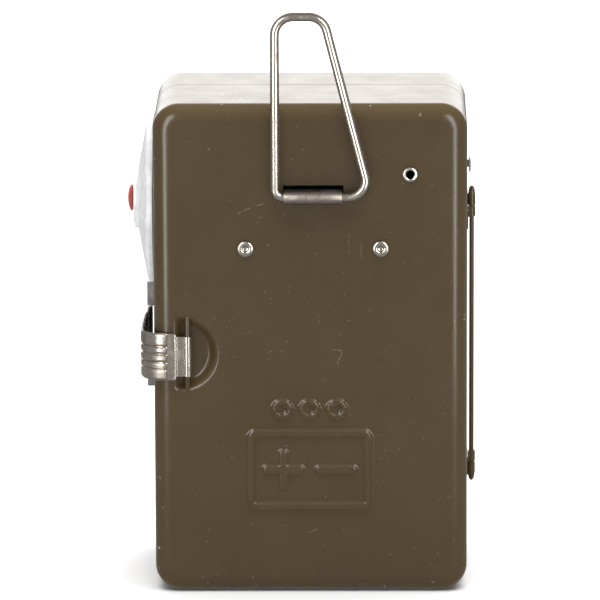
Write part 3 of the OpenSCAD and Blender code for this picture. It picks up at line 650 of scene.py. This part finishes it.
@dataclass
class RearCover(DrawnShell):
    """The rear half, with its pressed hollow, raised marks, slot and eyelet hole."""

    face_y: float = -25 * MM
    dish_at: Pair = (-32.65 * MM, 61.2 * MM)
    dish_r: float = 9.9 * MM
    dish_floor_r: float = 7.15 * MM
    dish_flat_x: float = -34.1 * MM
    dish_depth: float = 2.1 * MM
    badge_at: Pair = (-0.25 * MM, 31.6 * MM)
    badge_half: Pair = (15.5 * MM, 10.25 * MM)
    badge_rise: float = 0.6 * MM
    ridge: float = 1.8 * MM
    boss_z: float = 47.0 * MM
    boss_pitch: float = 6.8 * MM
    eyelet_at: Pair = (24.85 * MM, 106.6 * MM)
    eyelet_r: float = 1.4 * MM
    slot_x: Pair = (-6.65 * MM, 8.3 * MM)
    slot_z: Pair = (102.1 * MM, 103.9 * MM)
    grain: float = 0.34 * MM

    def _hollow(self, x: float, z: float) -> float:
        """How deep the pressed hollow is at a place on the rear face."""
        away = math.hypot(x - self.dish_at[0], z - self.dish_at[1]) - self.dish_r
        flat = self.dish_flat_x - x
        blend_r = 1.6 * MM
        a, b = away + blend_r, flat + blend_r
        outside = math.hypot(max(a, 0), max(b, 0)) + min(max(a, b), 0) - blend_r
        return self.dish_depth * ease(-outside / (self.dish_r - self.dish_floor_r))

    def _ridge(self, distance: float) -> float:
        """Height of a soft ridge at a distance from its middle line."""
        return self.badge_rise * ease((self.ridge / 2 - abs(distance)) / (0.7 * MM) + 0.45)

    def _badge(self, x: float, z: float) -> float:
        """Height of the raised frame, its plus and minus, and three round bosses."""
        x, dz = x - self.badge_at[0], z - self.badge_at[1]
        rim = box_distance(x, dz, self.badge_half[0] - self.ridge / 2,
                           self.badge_half[1] - self.ridge / 2, 1.2 * MM)
        arm, thick, off = 4.3 * MM, 0.25 * MM, 6.6 * MM
        plus = min(box_distance(x + off, dz, arm, thick, thick),
                   box_distance(x + off, dz, thick, arm, thick))
        minus = box_distance(x - off, dz, arm, thick, thick)
        boss = min(
            abs(math.hypot(x - k * self.boss_pitch, z - self.boss_z) - 1.9 * MM)
            for k in (-1, 0, 1)
        )
        return max(self._ridge(rim), self._ridge(max(plus, 0)), self._ridge(max(minus, 0)),
                   self._ridge(boss * 1.25))

    def _press(self, obj: bpy.types.Object, low: Pair, high: Pair,
               height: Callable[[float, float], float]) -> None:
        """Divides one region of the flat face finely and presses it.

        Args:
            obj: The cover.
            low: The region's lowest x and z.
            high: The region's highest x and z.
            height: How far a place moves along +Y.
        """
        take(obj)
        bpy.ops.object.mode_set(mode="EDIT")

        def flat(face: bmesh.types.BMFace) -> bool:
            return all(abs(v.co.y - self.face_y) < SMALL for v in face.verts)

        def inside(face: bmesh.types.BMFace) -> bool:
            c = face.calc_center_median()
            return flat(face) and low[0] < c.x < high[0] and low[1] < c.z < high[1]

        for spot, normal in (
            ((low[0], 0, 0), (1, 0, 0)), ((high[0], 0, 0), (1, 0, 0)),
            ((0, 0, low[1]), (0, 0, 1)), ((0, 0, high[1]), (0, 0, 1)),
        ):
            select(obj, Part.FACE, flat)
            bpy.ops.mesh.bisect(plane_co=spot, plane_no=normal)
        for span, normal, start in (
            (high[0] - low[0], (1, 0, 0), low[0]), (high[1] - low[1], (0, 0, 1), low[1]),
        ):
            steps = round(span / self.grain)
            for step in range(1, steps):
                select(obj, Part.FACE, inside)
                at = start + span * step / steps
                bpy.ops.mesh.bisect(plane_co=[at * part for part in normal], plane_no=normal)
        mesh = bmesh.from_edit_mesh(obj.data)
        for vert in mesh.verts:
            if abs(vert.co.y - self.face_y) < SMALL:
                vert.co.y += height(vert.co.x, vert.co.z)
        bmesh.update_edit_mesh(obj.data)
        bpy.ops.object.mode_set(mode="OBJECT")

    def build(self) -> bpy.types.Object:
        """Makes the cover."""
        obj = self.draw("cover_shell", self.face_y, self.seam_y - 0.15 * MM)
        self._press(obj, (-17 * MM, 19 * MM), (17 * MM, 51 * MM), lambda x, z: -self._badge(x, z))
        self._press(obj, (-34.75 * MM, 50.4 * MM), (-21.9 * MM, 72.0 * MM), self._hollow)
        self.thicken(obj)
        x, y = -self.half_w, self.face_y
        hole_x, hole_z = self.eyelet_at
        cut(obj, [
            self.window(),
            block("window_run", (x - 2 * MM, 0, self.lens_z - self.window_r),
                  (x + 2.5 * MM, self.seam_y + 1 * MM, self.lens_z + self.window_r)),
            block("hook_slot", (self.slot_x[0], y - 1 * MM, self.slot_z[0]),
                  (self.slot_x[1], y + 2 * MM, self.slot_z[1])),
            rod("eyelet_hole", self.eyelet_r, 6 * MM, (hole_x, y, hole_z), Axis.OUT_OF_REAR),
        ])
        weigh_normals(obj)
        self.wardrobe.dress(obj, Finish.PAINT)
        return mount(obj, "cover", "olive_paint", "rear_cover")


@dataclass
class FrontShell(DrawnShell):
    """The front half, which carries the works."""

    face_y: float = 25 * MM
    switch_y: float = 14 * MM
    switch_z: Pair = (100.8 * MM, 109.2 * MM)

    def build(self) -> bpy.types.Object:
        """Makes the front half."""
        obj = self.draw("front_shell_skin", self.face_y, self.seam_y + 0.15 * MM)
        self.thicken(obj)
        cut(obj, [
            self.window(),
            block("switch_slot", (self.half_w - 2 * MM, self.switch_y - 1 * MM, self.switch_z[0]),
                  (self.half_w + 2 * MM, self.switch_y + 1 * MM, self.switch_z[1])),
        ])
        weigh_normals(obj)
        self.wardrobe.dress(obj, Finish.PAINT)
        return mount(obj, "case", "olive_paint", "front_shell")


# ---- fittings on the rear -------------------------------------------------


@dataclass
class Rivets:
    """The tubular rivets and the eyelet, each turned from its profile."""

    wardrobe: Wardrobe
    rear_y: float = -25 * MM
    fit_x: float = 0.75 * MM
    rivet_x: float = 16.8 * MM
    rivet_z: float = 87.9 * MM
    eyelet_at: Pair = (24.85 * MM, 106.6 * MM)
    front_spots: tuple[Pair, ...] = ((-30, 15), (-30, 58), (30, 15), (30, 58), (-9, 88), (-9, 104))

    def tubular(self) -> bpy.types.Object:
        """The two rivets under the hook, each with a dimpled end."""
        profile = [
            (0.0, 0.05), (0.35, 0.02), (0.58, 0.10), (0.74, 0.36), (0.86, 0.58), (1.05, 0.68),
            (1.45, 0.70), (1.78, 0.64), (1.94, 0.50), (2.0, 0.28), (1.98, 0.0), (1.2, 0.0),
            (1.2, -1.4), (1.7, -1.4), (1.7, -1.75), (1.2, -1.9), (0.0, -1.9),
        ]
        stations = [(r * MM, h * MM) for r, h in profile]
        first = turned("rivet_left", stations,
                       (self.fit_x - self.rivet_x, self.rear_y, self.rivet_z), Axis.OUT_OF_REAR, 48)
        second = turned("rivet_right", stations,
                        (self.fit_x + self.rivet_x, self.rear_y, self.rivet_z), Axis.OUT_OF_REAR, 48)
        obj = smooth(joined("hook_rivets", [first, second]))
        self.wardrobe.dress(obj, Finish.NICKEL)
        return mount(obj, "cover", "nickel", "cover_rivets")

    def open_eyelet(self) -> bpy.types.Object:
        """The rolled eyelet, open right through."""
        profile = [
            (0.97, -1.1), (0.95, -0.4), (0.98, 0.15), (1.12, 0.42), (1.38, 0.55), (1.68, 0.50),
            (1.90, 0.32), (2.0, 0.08), (1.97, 0.0), (1.38, 0.0), (1.38, -0.8), (1.9, -0.82),
            (1.88, -1.15), (1.4, -1.25), (1.05, -1.22), (0.97, -1.1),
        ]
        x, z = self.eyelet_at
        obj = turned("cord_eyelet", [(r * MM, h * MM) for r, h in profile],
                     (x, self.rear_y, z), Axis.OUT_OF_REAR, 56)
        self.wardrobe.dress(obj, Finish.NICKEL)
        return mount(obj, "cover", "nickel", "eyelet")

    def front_heads(self) -> bpy.types.Object:
        """The six painted rivets of the front face."""
        profile = [
            (0.0, 0.8), (0.7, 0.76), (1.3, 0.62), (1.8, 0.40), (2.1, 0.15), (2.15, 0.0),
            (1.2, 0.0), (1.2, -1.6), (1.85, -1.6), (1.85, -2.0), (1.3, -2.08), (0.0, -2.1),
        ]
        heads = [
            turned(f"front_rivet_{i}", [(r * MM, h * MM) for r, h in profile],
                   (x * MM, -self.rear_y, z * MM), Axis.OUT_OF_FRONT, 40)
            for i, (x, z) in enumerate(self.front_spots)
        ]
        obj = smooth(joined("front_rivet_heads", heads))
        self.wardrobe.dress(obj, Finish.PAINT)
        return mount(obj, "case", "olive_paint", "front_rivets")


@dataclass
class RearHook:
    """The bent wire loop and the strip rolled round its foot."""

    wardrobe: Wardrobe
    wire_r: float = 1.125 * MM
    y: float = -26.85 * MM
    z: float = 101.2 * MM
    corners: tuple[Pair, ...] = ((-8.6, 0.0), (15.0, 0.0), (3.4, 45.3), (-8.6, 45.3))
    bends: tuple[float, ...] = (2.1, 4.2, 4.6, 4.6)
    steps: int = 10
    roll_x: Pair = (-6.45 * MM, 7.95 * MM)
    roll_mid_r: float = 1.47 * MM
    strip_t: float = 0.56 * MM
    tail_z: float = 1.35 * MM

    def _route(self) -> list[Point]:
        """The wire's middle line, round each bend in even steps."""
        points: list[Point] = []
        count = len(self.corners)
        for i, corner in enumerate(self.corners):
            p = Vector(corner)
            u = (Vector(self.corners[i - 1]) - p).normalized()
            v = (Vector(self.corners[(i + 1) % count]) - p).normalized()
            half = u.angle(v) / 2
            centre = p + (u + v).normalized() * self.bends[i] / math.sin(half)
            start = p + u * self.bends[i] / math.tan(half) - centre
            sweep = math.pi - 2 * half
            for step in range(self.steps + 1):
                angle = sweep * step / self.steps
                turn = Vector((start.x * math.cos(angle) - start.y * math.sin(angle),
                               start.x * math.sin(angle) + start.y * math.cos(angle)))
                at = centre + turn
                points.append((at.x * MM, self.y, self.z + at.y * MM))
        return points

    def wire(self) -> bpy.types.Object:
        """Bends the loop from round wire."""
        deselect()
        curve = bpy.data.curves.new("hook_wire", "CURVE")
        curve.dimensions = "3D"
        curve.bevel_depth = self.wire_r
        curve.bevel_resolution = 8
        curve.use_fill_caps = False
        spline = curve.splines.new("POLY")
        route = self._route()
        spline.points.add(len(route) - 1)
        for point, at in zip(spline.points, route):
            point.co = (*at, 1)
        spline.use_cyclic_u = True
        obj = bpy.data.objects.new("hook_wire", curve)
        bpy.context.scene.collection.objects.link(obj)
        take(obj)
        bpy.ops.object.convert(target="MESH")
        obj = fresh("hook_wire")
        outward(obj)
        smooth(obj, math.radians(60))
        self.wardrobe.dress(obj, Finish.NICKEL)
        return mount(obj, "hook", "nickel", "wire_hook")

    def rolled_strip(self) -> bpy.types.Object:
        """Rolls the strip round the wire and turns its tail in through the slot."""
        r = self.roll_mid_r
        inner_y = -24.2 * MM + self.strip_t / 2 + 0.06 * MM
        line: list[Pair] = []
        for step in range(37):
            angle = math.radians(-70 - 300 * step / 36)
            line.append((self.y + r * math.cos(angle), self.z + r * math.sin(angle)))
        top = self.z + self.tail_z
        line += [(self.y + 0.7 * MM, top), (inner_y - 0.5 * MM, top),
                 (inner_y, top - 0.5 * MM), (inner_y, self.z - 8 * MM)]
        deselect()
        bpy.ops.mesh.primitive_plane_add(size=1)
        obj = fresh("hook_strip")
        bpy.ops.object.mode_set(mode="EDIT")
        bpy.ops.mesh.delete(type="ONLY_FACE")
        mesh = bmesh.from_edit_mesh(obj.data)
        mesh.clear()
        verts = [mesh.verts.new((self.roll_x[0], y, z)) for y, z in line]
        for a, b in zip(verts, verts[1:]):
            mesh.edges.new((a, b))
        bmesh.update_edit_mesh(obj.data)
        bpy.ops.mesh.select_all(action="SELECT")
        bpy.ops.mesh.extrude_edges_move(
            TRANSFORM_OT_translate={"value": (self.roll_x[1] - self.roll_x[0], 0, 0)}
        )
        bpy.ops.mesh.select_all(action="SELECT")
        bpy.ops.mesh.normals_make_consistent(inside=False)
        bpy.ops.object.mode_set(mode="OBJECT")
        finish_with(obj, "SOLIDIFY", thickness=self.strip_t, offset=0, use_even_offset=True)
        finish_with(obj, "BEVEL", width=0.1 * MM, segments=2, limit_method="ANGLE",
                    angle_limit=math.radians(50))
        outward(obj)
        smooth(obj)
        self.wardrobe.dress(obj, Finish.STRIP)
        return mount(obj, "cover", "nickel", "hook_bracket")


# ---- clasp ----------------------------------------------------------------


@dataclass
class Clasp:
    """The grooved spring strap and its wire pin."""

    wardrobe: Wardrobe
    z: float = 60.6 * MM
    pin_z: float = 61.2 * MM
    half_h: float = 5.9 * MM
    neck_half_h: float = 5.05 * MM
    neck_x: float = -33.85 * MM
    sheet: float = 0.45 * MM
    side_x: float = -42 * MM
    rear_y: float = -25.85 * MM
    bend_r: float = 6 * MM
    lip_x: float = -40.25 * MM
    end_y: float = 7.8 * MM
    lean: float = 0.6 * MM
    pin_at: Pair = (-30.6 * MM, -24.8 * MM)
    pin_r: float = 0.55 * MM
    grooves: tuple[float, ...] = (2.6, 0.7, -1.4, -3.2)
    groove_half: float = 0.42 * MM
    swell: float = 0.38 * MM
    neck_steps: int = 20
    roll_steps: int = 30
    rows: int = 56

    def _line(self) -> list[tuple[float, float, float]]:
        """The strap's middle line seen from above, with how much it swells between its grooves."""
        mid = self.sheet / 2
        x_side, y_rear = self.side_x + mid, self.rear_y + mid
        r = self.bend_r - mid
        cx, cy = self.side_x + self.bend_r, self.rear_y + self.bend_r
        x_end = x_side + self.lean
        line = [(self.lip_x, self.end_y - mid, 0.0), (x_end + 0.35 * MM, self.end_y - mid, 0.0)]
        line += [(x_end + 0.08 * MM, self.end_y - mid - 0.12 * MM, 0.0)]
        runs = 40
        for i in range(1, runs + 1):
            y = self.end_y - mid - 0.35 * MM + (cy - self.end_y + mid + 0.35 * MM) * i / runs
            inwards = self.lean * ((y - cy) / (self.end_y - cy)) ** 2
            line.append((x_side + inwards, y, ease((self.end_y - 8 * MM - y) / (1.5 * MM))))
        turns = 26
        for i in range(1, turns + 1):
            angle = math.radians(180 + 90 * i / turns)
            line.append((cx + r * math.cos(angle), cy + r * math.sin(angle),
                         ease((self.neck_x - 1.2 * MM - cx - r * math.cos(angle)) / (0.9 * MM))))
        px, py = self.pin_at
        roll = self.pin_r + 0.05 * MM + mid
        entry = math.radians(-150)
        x_roll, y_roll = px + roll * math.cos(entry), py + roll * math.sin(entry)
        for i in range(1, self.neck_steps + 1):
            x = cx + (x_roll - cx) * i / self.neck_steps
            dip = ease((x - self.neck_x) / (0.7 * MM))
            line.append((x, y_rear + (y_roll - y_rear) * dip, 0.0))
        for i in range(1, self.roll_steps + 1):
            angle = entry + math.radians(335) * i / self.roll_steps
            line.append((px + roll * math.cos(angle), py + roll * math.sin(angle), 0.0))
        return line

    def strap(self) -> bpy.types.Object:
        """Presses the strap: a grooved band round the corner, a dipped neck and a rolled end."""
        line = self._line()
        deselect()
        bpy.ops.mesh.primitive_grid_add(x_subdivisions=len(line) - 1, y_subdivisions=self.rows,
                                        size=1)
        obj = fresh("clasp_band")
        bpy.ops.object.mode_set(mode="EDIT")
        mesh = bmesh.from_edit_mesh(obj.data)
        neck_from = len(line) - self.neck_steps - self.roll_steps
        for vert in mesh.verts:
            i = round((vert.co.x + 0.5) * (len(line) - 1))
            share = vert.co.y * 2
            x, y, ribbed = line[i]
            before, after = Vector(line[max(i - 1, 0)][:2]), Vector(line[min(i + 1, len(line) - 1)][:2])
            along = (after - before).normalized()
            out = Vector((along.y, -along.x))
            neck = ease((x - self.neck_x) / (0.5 * MM)) if i > neck_from else 0.0
            half = self.half_h + (self.neck_half_h - self.half_h) * neck
            up = share * half
            groove = min(abs(up - at * MM) for at in self.grooves)
            edge = half - abs(up)
            rise = self.swell * ribbed * min(ease(groove / self.groove_half - 0.15), ease(edge / (0.5 * MM)))
            vert.co = (x + out.x * rise, y + out.y * rise, self.z + up)
        bmesh.update_edit_mesh(obj.data)
        bpy.ops.object.mode_set(mode="OBJECT")
        outward(obj)
        finish_with(obj, "SOLIDIFY", thickness=self.sheet, offset=0, use_even_offset=True)
        outward(obj)
        smooth(obj, math.radians(40))
        self.wardrobe.dress(obj, Finish.NICKEL)
        return mount(obj, "clasp", "nickel", "clasp_strap")

    def pin(self) -> bpy.types.Object:
        """Turns the wire pin, with rounded ends."""
        half = 9.65 * MM
        obj = turned("clasp_wire", [
            (0.0, -half), (0.38 * MM, -half), (0.5 * MM, -half + 0.1 * MM),
            (self.pin_r, -half + 0.3 * MM), (self.pin_r, half - 0.3 * MM),
            (0.5 * MM, half - 0.1 * MM), (0.38 * MM, half), (0.0, half),
        ], (*self.pin_at, self.pin_z), Axis.UP, 32)
        self.wardrobe.dress(obj, Finish.PAINT)
        return mount(obj, "cover", "nickel", "clasp_pin")


# ---- lens unit ------------------------------------------------------------


@dataclass
class LensUnit:
    """The milky dome and the red knob in its middle."""

    wardrobe: Wardrobe
    at: Point = (-39 * MM, 0.0, 96 * MM)

    def dome(self) -> bpy.types.Object:
        """Turns the dome: a rim, a shallow cone and a flat boss."""
        profile = [
            (20.2, -2.4), (20.2, 0.15), (21.05, 0.15), (21.2, 0.32), (21.2, 1.35), (21.05, 1.62),
            (20.75, 1.82), (20.2, 2.0), (16.9, 2.62), (13.0, 3.36), (9.6, 3.96), (8.3, 4.2),
            (7.8, 4.34), (7.6, 4.6), (7.6, 5.12), (7.5, 5.32), (7.25, 5.4), (1.7, 5.4),
            (1.62, 5.32), (1.62, 2.2), (6.6, 2.2), (18.9, 0.4), (18.9, -2.4), (20.2, -2.4),
        ]
        obj = turned("lens_dome", [(r * MM, h * MM) for r, h in profile], self.at,
                     Axis.OUT_OF_LENS_SIDE, 128)
        self.wardrobe.dress(obj, Finish.CLEAR)
        return mount(obj, "case", "clear_lens", "lens")

    def knob(self) -> bpy.types.Object:
        """Turns the red knob, slightly crowned."""
        profile = [
            (0.0, 7.0), (0.8, 6.97), (1.7, 6.84), (2.5, 6.63), (3.05, 6.4), (3.32, 6.22),
            (3.4, 6.05), (3.34, 5.88), (3.1, 5.75), (1.0, 5.75), (0.0, 5.75),
        ]
        obj = turned("red_knob_cap", [(r * MM, h * MM) for r, h in profile], self.at,
                     Axis.OUT_OF_LENS_SIDE, 64)
        self.wardrobe.dress(obj, Finish.RED)
        return mount(obj, "filter", "red_knob", "filter_knob")


# ---- everything that keeps its CAD shape ----------------------------------

CAD_FINISHES: dict[str, Finish] = {
    "seam_rim": Finish.PAINT, "hinge_leaf_case": Finish.PAINT, "hinge_leaf_cover": Finish.PAINT,
    # clasp_keeper takes the dark plate, whose near-black stain is partly painted shade.
    "hinge_wire": Finish.PAINT, "clasp_keeper": Finish.PLATE, "keeper_rivets": Finish.NICKEL,
    "chassis": Finish.ZINC, "insulator_tray": Finish.BOARD, "bridge_contact": Finish.BRASS,
    "cell_spring": Finish.ZINC, "cell_left": Finish.JACKET, "cell_left_cap": Finish.NICKEL,
    "cell_right": Finish.JACKET, "cell_right_cap": Finish.NICKEL, "contact_board": Finish.BOARD,
    "bulb_contact": Finish.BRASS, "cell_contact_right": Finish.BRASS,
    "optic_bracket": Finish.ZINC, "socket_board": Finish.BOARD, "lamp_socket": Finish.BRASS,
    "bulb_cap": Finish.BRASS, "bulb_tip": Finish.BLACK, "bulb_glass": Finish.GLASS,
    "bulb_filament": Finish.ZINC, "reflector": Finish.MIRROR, "lens_ring": Finish.MIRROR,
    "lens_gasket": Finish.RUBBER, "rod_bush": Finish.BRASS, "filter_rod": Finish.BRASS,
    "filter_cup": Finish.FILTER, "switch_plate": Finish.PAINT, "switch_slider": Finish.PLATE,
    "switch_blade": Finish.BRONZE, "switch_insulator": Finish.BOARD,
    "spare_bulb_clip": Finish.ZINC, "spare_bulb_cap": Finish.BRASS,
    "spare_bulb_glass": Finish.GLASS, "cover_liner": Finish.CARD,
}


# ---- studio ---------------------------------------------------------------


@dataclass(frozen=True)
class Softbox:
    """One soft light: where it is, what it faces, its size, its power and what it acts on."""

    name: str
    at: Point
    aim: Point
    size: Pair
    power: float
    shades: bool = True
    shines: bool = True


@dataclass
class Studio:
    """A pale floor, soft lights and the camera."""

    camera_at: Point = (17.3 * MM, -1616 * MM, 418.1 * MM)
    camera_aim: Point = (-2.54 * MM, -25 * MM, 74.92 * MM)
    camera_roll: float = -0.0038
    lens_mm: float = 393.3
    floor_half: float = 6.0
    air: float = 0.34
    lights: tuple[Softbox, ...] = (
        Softbox("top_light", (0.1, -0.1, 1.5), (0, 0, 0.05), (1.6, 1.4), 40.0, shines=False),
        Softbox("left_panel", (-0.135, -0.21, 0.13), (-0.03, -0.02, 0.06), (0.08, 0.26), 0.60, shades=False),
        Softbox("right_panel", (0.135, -0.21, 0.13), (0.03, -0.02, 0.06), (0.08, 0.26), 0.55, shades=False),
        Softbox("back_panel", (0.0, 1.1, 0.42), (0, 0, 0.12), (1.3, 0.8), 7.2),
    )

    def _floor(self) -> None:
        """Lays a pale floor with a faint tooth."""
        deselect()
        bpy.ops.mesh.primitive_plane_add(size=2 * self.floor_half)
        floor = fresh("studio_floor")
        g = Graph("studio_white")
        g.set(Base_Color=g.blend(g.ramp(g.noise(6, 2), 0.3, 0.7), (0.90, 0.90, 0.90),
                                 (0.885, 0.885, 0.885)), Roughness=0.75,
              Specular_IOR_Level=0.2)
        floor.data.materials.append(g.material)
        floor.visible_glossy = False

    def _light(self, box: Softbox) -> None:
        """Hangs one soft light."""
        data = bpy.data.lights.new(box.name, "AREA")
        data.shape = "RECTANGLE"
        data.size, data.size_y = box.size
        data.energy = box.power
        lamp = bpy.data.objects.new(box.name, data)
        lamp.location = box.at
        lamp.rotation_euler = (Vector(box.aim) - Vector(box.at)).to_track_quat("-Z", "Y").to_euler()
        lamp.visible_camera = False
        lamp.visible_diffuse = box.shades
        lamp.visible_glossy = box.shines
        bpy.context.scene.collection.objects.link(lamp)

    def _camera(self) -> None:
        """Sets up the long-lens camera."""
        data = bpy.data.cameras.new("studio_camera")
        data.lens = self.lens_mm
        data.sensor_width = 36.0
        data.clip_start, data.clip_end = 0.05, 50.0
        camera = bpy.data.objects.new("studio_camera", data)
        camera.location = self.camera_at
        way = Vector(self.camera_aim) - Vector(self.camera_at)
        roll = Quaternion((0, 0, 1), self.camera_roll)
        camera.rotation_euler = (way.to_track_quat("-Z", "Y") @ roll).to_euler()
        bpy.context.scene.collection.objects.link(camera)
        bpy.context.scene.camera = camera

    def build(self) -> None:
        """Sets the whole studio."""
        scene = bpy.context.scene
        scene.view_settings.view_transform = "Standard"
        world = bpy.data.worlds.new("studio_air")
        world.use_nodes = True
        background = world.node_tree.nodes["Background"]
        background.inputs["Color"].default_value = (1.0, 1.0, 1.0, 1.0)
        background.inputs["Strength"].default_value = self.air
        scene.world = world
        self._floor()
        for box in self.lights:
            self._light(box)
        self._camera()


def main() -> None:
    """Builds the studio, then the lamp from its case to its fittings."""
    logging.basicConfig(level=logging.INFO, format="%(name)s: %(message)s")
    Studio().build()
    wardrobe = Wardrobe()
    for node, finish in CAD_FINISHES.items():
        wardrobe.dress_node(node, finish)
    RearCover(wardrobe).build()
    FrontShell(wardrobe).build()
    rivets = Rivets(wardrobe)
    rivets.tubular()
    rivets.open_eyelet()
    rivets.front_heads()
    hook = RearHook(wardrobe)
    hook.wire()
    hook.rolled_strip()
    clasp = Clasp(wardrobe)
    clasp.strap()
    clasp.pin()
    lens = LensUnit(wardrobe)
    lens.dome()
    lens.knob()


if __name__ == "__main__":
    main()
